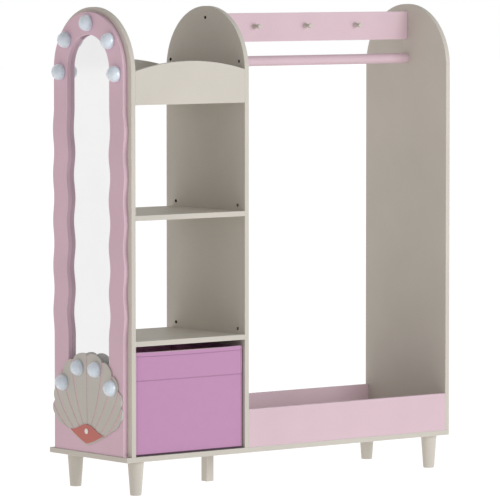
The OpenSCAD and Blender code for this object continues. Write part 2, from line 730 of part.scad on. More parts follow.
base_board();
left_upright();
middle_upright();
right_upright();
upper_shelf();
lower_shelf();
tray_bottom();
tray_front();
tray_back();
toy_tray_front();
toy_tray_back();
hook_rail();
left_hook();
middle_hook();
right_hook();
clothes_rod();
mirror_frame();
mirror_sheet();
shell_plate();
shell_hinge();
hinge_button();
arch_pearl(0);  // arch_pearl_1
arch_pearl(1);  // arch_pearl_2
arch_pearl(2);  // arch_pearl_3
arch_pearl(3);  // arch_pearl_4
arch_pearl(4);  // arch_pearl_5
shell_pearl(0);  // shell_pearl_1
shell_pearl(1);  // shell_pearl_2
shell_pearl(2);  // shell_pearl_3
shell_pearl(3);  // shell_pearl_4
leg(0);  // front_left_leg
leg(1);  // front_right_leg
leg(2);  // back_left_leg
leg(3);  // back_right_leg
support_leg();
leg_bolts();
leg_inserts();
base_screws();
side_screws();
dowels();
cam_locks();
cam_bolts();
frame_screws();
hook_screws();
arch_pearl_screws();
shell_pearl_screws();
bin_outer();
bin_lining();
bin_front_board();
bin_back_board();
bin_left_board();
bin_right_board();
bin_bottom_board();
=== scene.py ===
"""Looks of a children's dress up storage unit, built around its packed CAD frame.

Metres. +X is right, +Y is back, +Z is up, and the origin is on the floor under the middle.
"""

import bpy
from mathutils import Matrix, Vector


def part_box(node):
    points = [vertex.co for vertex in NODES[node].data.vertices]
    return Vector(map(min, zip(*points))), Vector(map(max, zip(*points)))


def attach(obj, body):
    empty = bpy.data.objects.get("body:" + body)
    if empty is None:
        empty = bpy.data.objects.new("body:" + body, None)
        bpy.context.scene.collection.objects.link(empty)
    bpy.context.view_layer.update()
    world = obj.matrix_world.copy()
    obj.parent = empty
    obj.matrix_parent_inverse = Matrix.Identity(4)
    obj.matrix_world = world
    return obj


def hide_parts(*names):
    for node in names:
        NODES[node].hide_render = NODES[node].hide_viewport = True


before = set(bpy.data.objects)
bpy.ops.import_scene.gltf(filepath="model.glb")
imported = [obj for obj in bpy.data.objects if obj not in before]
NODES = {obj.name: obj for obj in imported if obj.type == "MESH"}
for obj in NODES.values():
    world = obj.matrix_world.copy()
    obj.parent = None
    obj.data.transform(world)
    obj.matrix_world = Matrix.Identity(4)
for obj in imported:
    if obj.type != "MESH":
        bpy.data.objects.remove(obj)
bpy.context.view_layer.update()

import math
from functools import partial
from itertools import accumulate

import bmesh
import bpy
from mathutils import Vector, noise

bl_info = {
    "name": "Dress Up Storage Unit",
    "version": (1, 0, 0),
    "blender": (4, 5, 0),
    "location": "3D View > Sidebar > Dress Up Unit",
    "description": "Builds a children's dress up storage unit around its packed frame",
    "category": "Object",
}

MM = 0.001

# Softened boards
MERGE = 0.002 * MM  # points nearer than this become one
TOUCH = 0.1 * MM  # what lies nearer than this to a face's plane is taken to lie in it
BEVEL_STEPS = 3  # rows of faces across an eased edge
FLAT, CREASE = math.radians(0.25), math.radians(35)  # bends that are flattened, and shaded sharp
RAW_AND_SHADE_BACK, RAW_AND_SHADE_FRONT = 1.0, 0.45  # how far a bore goes to raw board darkened with painted shade, at the back and at the front

# Fabric bin
RIPPLES, PUCKERS = (14, 14, 11), 95  # waves of the cloth in a metre, about 70 mm and 10 mm long
SEAM_DEPTH, SEAM_WIDTH, SEAM_SHADE = 0.4 * MM, 0.9 * MM, 0.6 * MM  # a corner seam, and the width of its painted shade
SEAM_FOLD, FOLD_PALE = 0.8 * MM, 0.5  # the fold outside it starts this far off, and gets this much painted highlight
LINE_DEPTH, LINE_WIDTH, LINE_SHADE = 0.8 * MM, 0.8 * MM, 0.9 * MM  # a line sewn through the cloth, and the width of its painted shade
BAND_PROUD, BAND_RISE = 0.35 * MM, 1.5 * MM  # how far the band stands out, and over what height
PUCKER_HEIGHT, PUCKER_REACH = 0.16 * MM, 5 * MM  # small puckers beside a sewn line

# Kinds of node that come up often
NOISE, RANGE = "ShaderNodeTexNoise", "ShaderNodeMapRange"
MIX, MATH, VECTOR_MATH = "ShaderNodeMix", "ShaderNodeMath", "ShaderNodeVectorMath"
SPAN = (0.3, 0.7)  # a noise seldom leaves this range

# The stage, in metres. Place and aim of the camera are those of the photograph.
CAMERA_PLACE, CAMERA_AIM, SENSOR_MM = (-6.5134, -8.1750, 1.2457), (0.0019, 0, 0.541), 36.0
KEY_PLACE, KEY_AIM, KEY_SIZE = (0.8, -4.4, 1.2), (0, 0, 0.5), 3.0
FLOOR_REACH, DOME_RADIUS = 30.0, 60.0


# ---- Small helpers ----

def linear(colour):
    """An sRGB hex colour as linear red, green, blue and alpha."""
    parts = [int(colour[k:k + 2], 16) / 255 for k in (1, 3, 5)]
    return [c / 12.92 if c <= 0.04045 else ((c + 0.055) / 1.055) ** 2.4 for c in parts] + [1.0]


def scaled(colour, by):
    """A colour times a number, or times one for each of red, green and blue."""
    return [c * f for c, f in zip(colour, by if isinstance(by, tuple) else (by,) * 3)] + [1.0]


def feed(tree, node, inputs):
    """Gives a node's inputs their values. A value that is an output is linked, and one that is
    a node is linked by the first output that it shows."""
    for key, value in inputs.items():
        if isinstance(value, bpy.types.Node):
            value = next(output for output in value.outputs if output.enabled)
        if isinstance(value, bpy.types.NodeSocket):
            tree.links.new(value, node.inputs[key])
        else:
            node.inputs[key].default_value = value


def add(tree, kind, *values, inputs=None, **settings):
    """Adds a node with its settings. The values go to the inputs that it shows, in their
    order, and any other inputs go by name."""
    node = tree.nodes.new(kind)
    for name, value in settings.items():
        setattr(node, name, value)
    shown = [key for key, socket in enumerate(node.inputs) if socket.enabled]
    feed(tree, node, {**dict(zip(shown, values)), **(inputs or {})})
    return node


def length(name, default, description):
    """A property that holds a length in metres."""
    return bpy.props.FloatProperty(name=name, description=description, default=default, min=0.0,
                                   precision=5, unit="LENGTH", subtype="DISTANCE")


def colour(name, default, description):
    """A property that holds a colour, from an sRGB hex value."""
    return bpy.props.FloatVectorProperty(name=name, description=description, size=4, min=0.0,
                                         max=1.0, default=linear(default), subtype="COLOR")


def strength(name, default, description):
    """A property that holds the strength of a light."""
    return bpy.props.FloatProperty(name=name, description=description, default=default, min=0.0)


def show(name, data):
    """Puts a mesh, a light or a camera into the scene as an object at the origin."""
    thing = bpy.data.objects.new(name, data)
    bpy.context.scene.collection.objects.link(thing)
    return thing


def aim(thing, place, target):
    """Puts a light or a camera at one point, looking at another."""
    thing.location = place
    thing.rotation_euler = (Vector(target) - thing.location).to_track_quat("-Z", "Y").to_euler()


def place(piece, slot, body="cabinet", replaces=()):
    """Hangs a finished piece on the body that it rides on, and hides the CAD nodes that it stands
    for.
    slot, the finish that it would take, is not used.
    """
    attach(piece, body)
    if replaces:
        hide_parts(*replaces)


def middle(node):
    """The middle of a CAD node's box."""
    low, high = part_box(node)
    return (low + high) / 2


def settled(piece):
    """A piece's mesh with its modifiers applied."""
    graph = bpy.context.evaluated_depsgraph_get()
    return bpy.data.meshes.new_from_object(
        piece.evaluated_get(graph), preserve_all_data_layers=True, depsgraph=graph)


# ---- Materials ----

def new_material(name):
    """A node material, the function that adds nodes to it, and its Object coordinates."""
    material = bpy.data.materials.new(name)
    material.use_nodes = True
    node = partial(add, material.node_tree)
    return material, node, node("ShaderNodeTexCoord").outputs["Object"]


def finished(material, inputs, *relief):
    """The material with its shader's inputs set, and with its small relief: each layer of that
    is a height from 0 to 1 and its depth in metres."""
    tree, normal = material.node_tree, {}
    for height, depth in relief:
        layer = {"Height": height, "Distance": depth, **normal}
        normal = {"Normal": add(tree, "ShaderNodeBump", inputs=layer)}
    feed(tree, tree.nodes["Principled BSDF"], {**inputs, **normal})
    return material


def paint(name, base, edge_highlight=0.14, gloss=0.5, ray=None):
    """Satin lacquer, sprayed on MDF and rubbed down: even and soft, with a faint orange peel,
    slightly cloudy where the coat is thinner, and with a painted highlight, paler, on the eased
    edges. The raw brown board shows in drilled holes, by the attribute bore, darkened there with
    painted shade.

    On the shell, the routed rays are picked out in a second colour by a fine brush, which
    varies a little along each. The attribute groove is 1 in a ray, and -1 on the back, which
    has only its white primer, kept this pale as painted light in the shaded gap before the mirror."""
    material, node, coords = new_material(name)
    cloud = node(RANGE, node(NOISE, coords, 1 / (160 * MM), 3.0), *SPAN, 0.965, 1.02)
    fleck = node(RANGE, node(NOISE, coords, 1 / (3.2 * MM)), *SPAN, 0.985, 1.015)
    shade = node(MATH, cloud, fleck, operation="MULTIPLY")
    tone = node(MIX, 1.0, base, shade, data_type="RGBA", blend_type="MULTIPLY")
    # Painted highlight: the eased edges are made paler, for the light that they catch
    edge = node("ShaderNodeAttribute", attribute_name="edge").outputs["Fac"]
    pale = [c + (1 - c) * edge_highlight for c in base[:3]] + [1.0]
    tone = node(MIX, edge, tone, pale, data_type="RGBA")
    # Drilled holes go to raw brown board, darkened further with painted shade for the inside of the
    # hole
    bore = node("ShaderNodeAttribute", attribute_name="bore").outputs["Fac"]
    tone = node(MIX, bore, tone, linear("#4A3D32"), data_type="RGBA")
    if ray:
        brush = node(RANGE, node(NOISE, coords, 1 / (9 * MM)), *SPAN, 0.94, 1.04)
        pink = node(MIX, 1.0, ray, brush, data_type="RGBA", blend_type="MULTIPLY")
        groove = node("ShaderNodeAttribute", attribute_name="groove").outputs["Fac"]
        tone = node(MIX, groove, tone, pink, data_type="RGBA")
        # The back's near white primer is painted light, for light in the shaded gap before the
        # mirror
        back = node(RANGE, groove, 0.0, -1.0, 0.0, 1.0)
        tone = node(MIX, back, tone, linear("#F2F1EE"), data_type="RGBA")
    rough = node(RANGE, node(NOISE, coords, 1 / (45 * MM), 3.0), *SPAN, gloss - 0.05, gloss + 0.07)
    peel = node(NOISE, coords, 1 / (2.4 * MM), 1.0)
    wave = node(NOISE, coords, 1 / (60 * MM), 1.0)
    return finished(material, {"Base Color": tone, "Roughness": rough, "IOR": 1.46,
                               "Specular IOR Level": 0.12}, (peel, 0.02 * MM), (wave, 0.05 * MM))


def mottled(name, base, worn, share, gloss, depth, *noises, stretch=None, inputs=None):
    """A material that goes from its base colour towards a worn one, up to a share, where a
    noise is high. Its gloss and its small relief go by the same noise, or by a second and a
    third one. worn is what the base is multiplied by, gloss is the roughness at the noise's
    low and high end, and each noise is its size in metres, its detail and its roughness."""
    material, node, coords = new_material(name)
    if stretch:
        coords = node("ShaderNodeMapping", inputs={"Vector": coords, "Scale": stretch})
    made = [node(NOISE, coords, 1 / size, *grain) for size, *grain in noises]
    tone, shine, lift = (made * 3)[:3]  # a single noise serves for all three
    cover = node(RANGE, tone, *SPAN, 0.0, share)
    return finished(material, {
        "Base Color": node(MIX, cover, base, scaled(base, worn), data_type="RGBA"),
        "Roughness": node(RANGE, shine, *SPAN, *gloss), **(inputs or {})}, (lift, depth))


def pearl_gloss(name, base):
    """Glossy moulded ABS with a pearl pigment: pale blue, cloudy inside, under a clear hard
    skin, and paler towards its rim, where the pigment's flakes catch the light."""
    skin = {"IOR": 1.53, "Subsurface Weight": 0.5, "Subsurface Radius": (1.0, 1.0, 1.0),
            "Subsurface Scale": 6 * MM, "Coat Weight": 0.8, "Coat Roughness": 0.08,
            "Sheen Weight": 0.75}
    return mottled(name, base, (0.93, 0.97, 1.0), 1.0, (0.22, 0.34), 0.01 * MM, (11 * MM, 3.0),
                   (6 * MM, 2.0), (4 * MM, 1.0), inputs=skin)


def button_plastic(name, base):
    """White moulded nylon, slightly waxy, with fine scuffs from handling."""
    return mottled(name, base, 0.9, 0.5, (0.3, 0.5), 0.01 * MM, (1.3 * MM, 4.0, 0.7),
                   inputs={"IOR": 1.53})


def mirror_silver(name, base):
    """Silvered acrylic sheet: bright and sharp, with a trace of haze and the faint unevenness
    that plastic mirrors have."""
    haze = (70 * MM, 3.0)
    return mottled(name, base, 0.985, 1.0, (0.015, 0.05), 0.03 * MM, haze, haze, (120 * MM, 0.0),
                   inputs={"Metallic": 1.0})


def plated_metal(name, base, gloss):
    """Steel with zinc plating, or bare brass: fine crystals with a bright and a duller side to
    them, drawn coarser than they are, so that they show."""
    return mottled(name, base, 0.8, 1.0, (gloss, gloss + 0.2), 0.008 * MM, (0.9 * MM, 3.0, 0.6),
                   inputs={"Metallic": 1.0})


def beech_wood(name, base):
    """Turned beech: pale, with straight fine grain along it and short dark flecks."""
    return mottled(name, base, (0.72, 0.66, 0.58), 0.8, (0.55, 0.7), 0.02 * MM,
                   (0.7 * MM, 4.0, 0.6), stretch=(0.08, 1.0, 1.0))


def grey_board(name, base):
    """Grey pressed board, made of waste paper: flecked and rough."""
    return mottled(name, base, 0.75, 1.0, (0.8, 0.95), 0.05 * MM, (1.8 * MM, 5.0, 0.7))


def bonded_cloth(name, base, dot_pitch):
    """Spun bonded polypropylene cloth: matt fibres pressed together in a grid of small dots, a
    little darker in the dots, with soft clouds where the web is thinner. The fibres are drawn
    as clumps, coarser than they are, so that they show. By the attribute shade, the cloth gets
    painted shade in the sewn lines and at the foot, and a painted highlight on the folds."""
    material, node, _ = new_material(name)
    flat = node("ShaderNodeUVMap", uv_map="cloth")
    turned = node("ShaderNodeMapping", inputs={"Vector": flat, "Rotation": (0, 0, math.radians(45)),
                                               "Scale": (1 / dot_pitch,) * 3})
    dots = node("ShaderNodeTexVoronoi", voronoi_dimensions="2D",
                inputs={"Vector": turned, "Scale": 1.0, "Randomness": 0.0})
    pressed = node(RANGE, dots, 0.18, 0.34, 1.0, 0.0)
    fibre = node(NOISE, flat, 1 / (0.5 * MM), 4.0, 0.7)
    cloud = node(RANGE, node(NOISE, flat, 1 / (24 * MM), 3.0), *SPAN, 0.0, 1.0)
    tone = node(MIX, cloud, base, scaled(base, 0.97), data_type="RGBA")
    tone = node(MIX, node(MATH, pressed, 0.6, operation="MULTIPLY"), tone, scaled(base, 0.86),
                data_type="RGBA")
    shade = node("ShaderNodeAttribute", attribute_name="shade").outputs["Fac"]
    # Painted shade in the sewn lines, and painted shadow at the foot
    sewn = node(RANGE, shade, 0.0, 2.9, 0.0, 1.0)
    tone = node(MIX, sewn, tone, scaled(base, 0.1), data_type="RGBA")
    # Painted highlight on the folds of the rim and beside the corner seams
    painted_fold_highlight = node(RANGE, shade, 0.0, -1.0, 0.0, 0.7)
    tone = node(MIX, painted_fold_highlight, tone, [c ** 0.6 for c in base[:3]] + [1.0], data_type="RGBA")
    lift = node(MATH, 1.0, pressed, operation="SUBTRACT")
    return finished(material, {
        "Base Color": tone, "Roughness": node(RANGE, fibre, *SPAN, 0.78, 0.92),
        "Specular IOR Level": 0.25, "Sheen Weight": 0.25, "Sheen Roughness": 0.5},
        (lift, 0.06 * MM), (fibre, 0.03 * MM))


def sewing_thread(name, base):
    """Spun polyester thread: twisted, with painted shade of the twist that bands it light and
    dark along its length. The bands are drawn wider than they are, so that they show."""
    material, node, coords = new_material(name)
    twist_shade_and_gloss = node("ShaderNodeTexWave", coords, 1 / (2.2 * MM),
                 bands_direction="DIAGONAL").outputs["Fac"]
    return finished(material, {
        # The bands are painted shade of the twist, and they also vary the gloss
        "Base Color": node(MIX, twist_shade_and_gloss, scaled(base, 0.78), base, data_type="RGBA"),
        "Roughness": node(RANGE, twist_shade_and_gloss, *SPAN, 0.6, 0.75)})


def studio_floor(name, glow):
    """White seamless paper: matt, lit from all round, with only a trace of shadow under the
    feet."""
    material, node, coords = new_material(name)
    shade = node(RANGE, node(NOISE, coords, 1 / (400 * MM)), *SPAN, 0.17, 0.2)
    return finished(material, {"Base Color": shade, "Roughness": 1.0, "Specular IOR Level": 0.0,
                               "Emission Color": linear("#FFFFFF"), "Emission Strength": glow})


# ---- Softened copies of the CAD boards ----

def edge_chains(edges):
    """Edges in groups that hang together."""
    left, chains = set(edges), []
    while left:
        chain, stack = [], [left.pop()]
        while stack:
            edge = stack.pop()
            chain.append(edge)
            for other in (other for vert in edge.verts for other in vert.link_edges):
                if other in left:
                    left.discard(other)
                    stack.append(other)
        chains.append(chain)
    return chains


def soften(node, width, front_only=False, least=0.15, sharp=30.0, groove=None):
    """A copy of a CAD node with its long edges eased to a small radius, or only those in its
    left face, which is the mirror's front. Drilled holes, which are short chains of edges,
    stay crisp. The eased faces carry the attribute edge, those in holes bore, and groove is
    worked out for each face."""
    mesh = NODES[node].data.copy()
    mesh.materials.clear()
    bm = bmesh.new()
    bm.from_mesh(mesh)
    bmesh.ops.remove_doubles(bm, verts=bm.verts, dist=MERGE)
    bmesh.ops.dissolve_limit(bm, angle_limit=FLAT, verts=bm.verts, edges=bm.edges,
                             use_dissolve_boundaries=False)
    low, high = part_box(node)
    reach, sharp = (low.x if front_only else high.x) + TOUCH, math.radians(sharp)
    hard = [e for e in bm.edges if len(e.link_faces) == 2 and e.calc_face_angle() > sharp
            and (e.verts[0].co.x + e.verts[1].co.x) / 2 < reach]
    chains = (chain for chain in edge_chains(hard) if sum(e.calc_length() for e in chain) > least)
    long = [e for chain in chains for e in chain]
    rims = {v for e in hard for v in e.verts} - {v for e in long for v in e.verts}
    bore = bm.faces.layers.float.new("bore")
    for face in bm.faces if long else ():
        at = face.calc_center_median()
        inside = all(a + TOUCH < c < b - TOUCH for a, c, b in zip(low, at, high))
        if inside and rims.issuperset(face.verts):
            # Bores at the back get the full painted shade, those at the front less
            face[bore] = RAW_AND_SHADE_BACK if at.y > 0 else RAW_AND_SHADE_FRONT
    # edge marks the eased faces, which the paint makes paler as a painted highlight
    edge = bm.verts.layers.float.new("edge")
    if long and width > 0:
        made = bmesh.ops.bevel(bm, geom=long, offset=width, segments=BEVEL_STEPS, profile=0.5,
                               affect="EDGES", clamp_overlap=True)
        eased = set(made["faces"])
        for vert in bm.verts:
            vert[edge] = float(bool(vert.link_faces) and eased.issuperset(vert.link_faces))
    if groove:
        layer = bm.faces.layers.float.new("groove")
        for face in bm.faces:
            face[layer] = groove(face.calc_center_median(), face.normal)
    for face in bm.faces:
        face.smooth = True
        face.material_index = 0
    bm.to_mesh(mesh)
    bm.free()
    mesh.set_sharp_from_angle(angle=CREASE)
    piece = show(node + "_finished", mesh)
    # The large flat faces set the shading, so that only the eased edges look round
    modifier = piece.modifiers.new("weighted", "WEIGHTED_NORMAL")
    modifier.keep_sharp, modifier.weight = True, 100
    piece.data = settled(piece)
    piece.modifiers.clear()
    bpy.data.meshes.remove(mesh)
    piece.data.name = piece.name
    return piece


def finish_board(node, material, slot, width, **options):
    """Softens a board, gives it its paint and puts it in the place of its CAD node."""
    piece = soften(node, width, **options)
    piece.data.materials.append(material)
    place(piece, slot, replaces=[node])


# ---- Geometry Nodes ----

def new_tree(name, *numbers):
    """An empty geometry tree, with named inputs for its points, its numbers and its finish.
    With it come the function that adds nodes to it, and its inputs."""
    tree = bpy.data.node_groups.new(name, "GeometryNodeTree")
    sockets = [("Geometry", "Geometry"), *((number, "Float") for number in numbers),
               ("Finish", "Material")]
    tree.interface.new_socket(name="Geometry", in_out="OUTPUT", socket_type="NodeSocketGeometry")
    for label, kind in sockets:
        tree.interface.new_socket(name=label, in_out="INPUT", socket_type="NodeSocket" + kind)
    return tree, partial(add, tree), add(tree, "NodeGroupInput").outputs


def end_tree(tree, given, points, shape, **lie):
    """Ends a tree: the shape on each point, made real, then its material."""
    copies = add(tree, "GeometryNodeInstanceOnPoints",
                 inputs={"Points": points, "Instance": shape, **lie})
    real = add(tree, "GeometryNodeRealizeInstances", copies)
    done = add(tree, "GeometryNodeSetMaterial", real, inputs={"Material": given["Finish"]})
    add(tree, "NodeGroupOutput", done)
    return tree


def run_tree(name, tree, points, edges=(), **values):
    """Runs a tree on points and keeps the result as a plain mesh. Values go in by socket name,
    with spaces for underscores."""
    mesh = bpy.data.meshes.new(name + "_points")
    mesh.from_pydata([tuple(p) for p in points], list(edges), [])
    carrier = show(name + "_points", mesh)
    modifier = carrier.modifiers.new(name, "NODES")
    modifier.node_group = tree
    given = {key.replace("_", " "): value for key, value in values.items()}
    for item in tree.interface.items_tree:
        if item.in_out == "INPUT" and item.name in given:
            modifier[item.identifier] = given.pop(item.name)
    if given:
        raise ValueError(f"{name}: the tree has no input named {sorted(given)}")
    result = settled(carrier)
    result.name = name
    bpy.data.objects.remove(carrier)
    bpy.data.meshes.remove(mesh)
    return show(name, result)


def turned_shape(node, blank, profile):
    """A smooth blank with every ring brought to the height that is worked out for it, and its
    width multiplied."""
    split = node("ShaderNodeSeparateXYZ", node("GeometryNodeInputPosition")).outputs
    height, wide = profile(split["Z"])
    flat = [node(MATH, split[axis], wide, operation="MULTIPLY") for axis in "XY"]
    where = node("ShaderNodeCombineXYZ", *flat, height)
    shaped = node("GeometryNodeSetPosition", blank, inputs={"Position": where})
    return node("GeometryNodeSetShadeSmooth", shaped)


def pearl_tree():
    """Balls cut off flat a little below their middle, one on each point, facing left."""
    tree, node, given = new_tree("pearls_on_points", "Diameter", "Neck")
    radius = node(MATH, given["Diameter"], 2.0, operation="DIVIDE")
    ball = node("GeometryNodeMeshUVSphere", 56, 36, radius)

    def profile(z):
        low = node(MATH, given["Neck"], -1.0, operation="MULTIPLY")
        cut = node(MATH, z, low, operation="MAXIMUM")
        return node(MATH, cut, given["Neck"], operation="ADD"), 1.0

    pearl = turned_shape(node, ball, profile)
    return end_tree(tree, given, given["Geometry"], pearl, Rotation=(0, -math.pi / 2, 0))


def peg_tree():
    """Turned pegs with a hollow waist between flange and head, one on each point, facing the
    front."""
    tree, node, given = new_tree("pegs_on_points", "Length", "Head", "Neck")
    blank = node("GeometryNodeMeshCylinder", inputs={
        "Vertices": 48, "Side Segments": 40, "Radius": 1.0, "Depth": given["Length"]})
    flange, rounding, drop, roundness = 1 * MM, 2 * MM, 1.2 * MM, 2.5

    def profile(z):
        up = node(MATH, given["Length"], 0.5, z, operation="MULTIPLY_ADD")
        bend = node(MATH, given["Length"], rounding, operation="SUBTRACT")
        cosine = node(MATH, node(RANGE, up, flange, bend, 0.0, math.pi), operation="COSINE")
        swell = node(MATH, cosine, cosine, operation="MULTIPLY")
        deep = node(MATH, given["Head"], given["Neck"], operation="SUBTRACT")
        across = node(MATH, deep, swell, given["Neck"], operation="MULTIPLY_ADD")
        # The head's front edge is rounded
        past = node(RANGE, up, bend, given["Length"], 0.0, 1.0)
        past = node(MATH, past, roundness, operation="POWER")
        fall = node(MATH, past, -drop, operation="MULTIPLY")
        return up, node(MATH, across, 0.5, fall, operation="MULTIPLY_ADD")

    peg = turned_shape(node, blank, profile)
    return end_tree(tree, given, given["Geometry"], peg, Rotation=(math.pi / 2, 0, 0))


def leg_tree():
    """Round tapered legs with a rounded foot, one standing on each point."""
    tree, node, given = new_tree("legs_on_points", "Height", "Top", "Foot", "Foot edge")
    blank = node("GeometryNodeMeshCylinder", inputs={
        "Vertices": 72, "Side Segments": 26, "Radius": 1.0, "Depth": 1.0})
    crowding = 2.2  # the rings lie closer together towards the floor, where the edge is rounded

    def profile(z):
        raised = node(MATH, z, 0.5, operation="ADD", use_clamp=True)
        share = node(MATH, raised, crowding, operation="POWER")
        up = node(MATH, share, given["Height"], operation="MULTIPLY")
        gain = node(MATH, given["Top"], given["Foot"], operation="SUBTRACT")
        across = node(MATH, share, gain, given["Foot"], operation="MULTIPLY_ADD")
        near = node(RANGE, up, 0.0, given["Foot edge"], 1.0, 0.0)
        squared = node(MATH, near, near, operation="MULTIPLY")
        curve = node(MATH, node(MATH, 1.0, squared, operation="SUBTRACT"), operation="SQRT")
        inward = node(MATH, node(MATH, curve, 1.0, operation="SUBTRACT"), given["Foot edge"],
                      operation="MULTIPLY")
        return up, node(MATH, across, 0.5, inward, operation="MULTIPLY_ADD")

    leg = turned_shape(node, blank, profile)
    return end_tree(tree, given, given["Geometry"], leg)


def stitch_tree():
    """Short stitches along a closed line, lying along it, each a little different in length."""
    tree, node, given = new_tree("stitches_on_a_line", "Pitch", "Stitch", "Thread")
    line = node("GeometryNodeMeshToCurve", given["Geometry"])
    even = node("GeometryNodeResampleCurve", mode="LENGTH",
                inputs={"Curve": line, "Length": given["Pitch"]})
    bead = node("GeometryNodeSetShadeSmooth", node("GeometryNodeMeshUVSphere", 8, 5, 0.5))
    along = node("FunctionNodeAlignRotationToVector", axis="Z",
                 inputs={"Vector": node("GeometryNodeInputTangent")})
    vary = node("FunctionNodeRandomValue", 0.9, 1.08, data_type="FLOAT", inputs={"Seed": 7})
    long = node(MATH, given["Stitch"], vary, operation="MULTIPLY")
    size = node("ShaderNodeCombineXYZ", given["Thread"], given["Thread"], long)
    return end_tree(tree, given, even, bead, Rotation=along, Scale=size)


# ---- Fabric bin ----

def dip(distance, width):
    """1 at no distance, and fading smoothly to 0 over about twice the width."""
    return math.exp(-(distance / width) ** 2)


def heading(angle):
    """The level direction at an angle in degrees: 0 is the front, 90 the right."""
    a = math.radians(angle)
    return Vector((math.sin(a), -math.cos(a), 0))


class BinShape:
    """The soft shape of the fabric bin: rings of points about its box, drawn in or let out.
    Boards hold its sides nearly flat, so it is shaped here and not by a cloth simulation. The
    sides are numbered from the front: 0 and 2 run along X, 1 and 3 along Y."""

    def __init__(self, low, high, settings):
        self.low, self.high, self.s = low, high, settings
        self.tall = high.z - low.z
        self.centre, self.half = (low + high) / 2, (high - low) / 2
        self.hem_z, self.band_z = high.z - settings.hem_line, high.z - settings.band_line
        step, fine, near_seam, corner = 3.2 * MM, 0.8 * MM, 11, 5
        self.plan = []  # side, share along it from -1 to 1, and share of the turn at its corner
        for side in range(4):
            run = self.half[side % 2]
            ends = [1 - k * fine / run for k in range(near_seam)]
            count = round(2 * run / step)
            shares = [-e for e in ends] + [ends[-1] * (2 * k / count - 1) for k in range(1, count)]
            self.plan += [(side, share, 0.0) for share in shares + ends[::-1]]
            self.plan += [(side, 1.0, (k + 1) / (corner + 1)) for k in range(corner)]

    def off_seam(self, side, along, inset=0.0):
        """How far a point of a side lies from the corner seam beside it, towards the side's
        middle."""
        run = self.half[side % 2] - inset - self.s.corner_radius
        return run * (1 - abs(along)) + self.s.corner_radius - self.s.corner_seam

    def bulge_at(self, z):
        """How far the middle of a side swells out at a height."""
        share = min(1, max(0, (z - self.low.z) / self.tall))
        return self.s.bulge * (0.25 + 0.75 * math.sin(math.pi * share ** 0.85))

    def sag_at(self, z):
        """How far the middle of a side hangs down at a height above the band's line."""
        share = max(0, (z - self.band_z) / self.s.band_line)
        return self.s.rim_sag * share * share * (3 - 2 * share)

    def ring(self, inset, z, soft=0.0, sag=0.0, wave=0.0):
        """One ring of points. soft lets the middles of the sides out, sag lowers them, and
        wave is the height of small puckers."""
        points, corner = [], max(self.s.corner_radius - inset, 0.8 * MM)
        for side, along, turn in self.plan:
            run, deep = (self.half[k] - inset - corner for k in (side % 2, 1 - side % 2))
            out = heading(90 * (side + turn))
            point = (heading(90 * side + 90) * (run * along) + heading(90 * side) * deep
                     + out * corner)
            swell = math.cos(math.pi / 2 * along) ** 0.8 if abs(along) < 1 else 0.0
            point += Vector((self.centre.x, self.centre.y, z - sag * swell))
            ripple = noise.noise(Vector((point.x, point.y, z)) * Vector(RIPPLES))
            pucker = noise.noise(Vector((point.x * PUCKERS, point.y * PUCKERS, 3.7)))
            push = soft * (swell * (1 + 0.2 * ripple)) + wave * pucker
            if soft > 0 and not turn:
                push -= SEAM_DEPTH * dip(self.off_seam(side, along, inset), SEAM_WIDTH)
            points.append(point + out * push)
        return points

    def seam_shade(self, k):
        """Painted shade of a column of points: dark in the corner seam, with a little painted
        highlight on the fold outside."""
        side, along, turn = self.plan[k]
        off = -1.0 if turn else self.off_seam(side, along)
        return dip(off, SEAM_SHADE) - (FOLD_PALE if off < -SEAM_FOLD else 0.0)

    def loft(self, rings, guide, shades=()):
        """A closed mesh through the rings, its first and last ring filled, with a UV map in
        metres that is measured around the guide ring. The first rings may each have a painted
        shade, which is kept as an attribute: 1 is the painted shade of a sewn line, and below 0 the
        painted highlight of a fold."""
        bm = bmesh.new()
        shade = bm.verts.layers.float.new("shade")
        verts = [[bm.verts.new(p) for p in ring] for ring in rings]
        seams = [self.seam_shade(k) for k in range(len(self.plan))]
        for ring, value in zip(verts, shades):
            for vert, seam in zip(ring, seams):
                vert[shade] = max(value, seam) if value >= 0 and seam >= 0 else value + seam
        cloth = bm.loops.layers.uv.new("cloth")
        around = [0.0, *accumulate((b - a).length for a, b in zip(guide, guide[1:] + guide[:1]))]
        up = [0.0, *accumulate((b[0] - a[0]).length for a, b in zip(rings, rings[1:]))]
        for r, (lower, upper) in enumerate(zip(verts, verts[1:])):
            for k in range(len(self.plan)):
                n = (k + 1) % len(self.plan)
                face = bm.faces.new((lower[k], lower[n], upper[n], upper[k]))
                face.smooth = True
                flat = abs(face.calc_center_median().z - lower[k].co.z) < 1e-7
                spots = ((around[k], up[r]), (around[k + 1], up[r]), (around[k + 1], up[r + 1]),
                         (around[k], up[r + 1]))
                for loop, spot in zip(face.loops, spots):
                    loop[cloth].uv = loop.vert.co.xy if flat else spot
        for ring in (verts[0][::-1], verts[-1]):
            for loop in bm.faces.new(ring).loops:
                loop[cloth].uv = loop.vert.co.xy
        bmesh.ops.recalc_face_normals(bm, faces=bm.faces)
        mesh = bpy.data.meshes.new("bin")
        bm.to_mesh(mesh)
        bm.free()
        return mesh

    def side_heights(self):
        """Heights of the rings up a side, closer together about the two sewn lines and the
        foot."""
        lines = (self.hem_z, self.band_z, self.low.z + 4.6 * MM)
        z, last, heights = self.low.z + 3 * MM, self.high.z - 2.2 * MM, []
        fine, medium, coarse = 0.5 * MM, 2 * MM, 6 * MM
        while z < last - 0.4 * MM:
            heights.append(z)
            near = min(abs(z - line) for line in lines)
            z += fine if near < 2.2 * MM else (medium if near < 7 * MM else coarse)
        return heights + [last]

